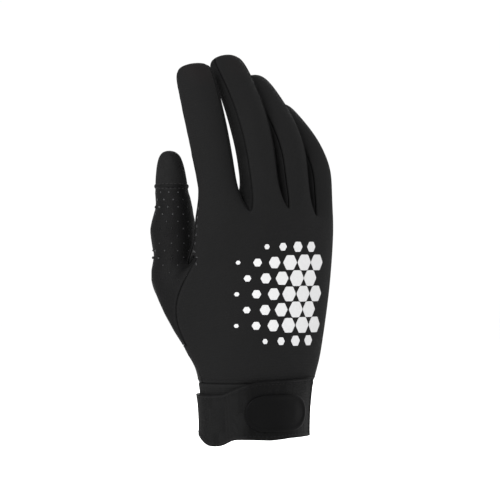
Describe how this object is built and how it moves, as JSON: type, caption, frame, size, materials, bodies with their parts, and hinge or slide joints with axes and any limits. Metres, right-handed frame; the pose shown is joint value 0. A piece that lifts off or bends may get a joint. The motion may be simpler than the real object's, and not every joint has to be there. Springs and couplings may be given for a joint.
{
  "type": "motocross glove",
  "caption": "Full-finger off-road riding glove for the right hand, in its worn form: stretch back, leather palm, perforated thumb and a wide wrist strap with a blank rubber badge.",
  "frame": {"origin": "middle of the mouth of the cuff, where the wrist comes out", "axes": "+Z from the cuff to the fingertips, -Y out of the back of the hand, -X to the thumb side"},
  "size_m": [0.1071, 0.0633, 0.2265],
  "materials": {
    "back_knit": "matt black stretch knit with a soft sheen",
    "palm_leather": "thin black synthetic suede leather, perforated on the thumb",
    "side_knit": "matt black fine stretch knit",
    "thumb_cap_knit": "smooth black stretch cloth",
    "cuff_knit": "black ribbed stretch knit",
    "strap_fabric": "black laminated fabric with a bound edge",
    "badge_rubber": "satin black moulded rubber"
  },
  "bodies": {
    "root": {"back_panel": "back_knit", "palm_panel": "palm_leather", "side_index_middle": "side_knit", "side_middle_ring": "side_knit", "side_ring_little": "side_knit", "thumb_back": "palm_leather", "thumb_front": "palm_leather", "thumb_cap": "thumb_cap_knit", "thumb_welt": "palm_leather", "cuff_band": "cuff_knit", "wrist_strap": "strap_fabric", "strap_badge": "badge_rubber"}
  },
  "joints": []
}
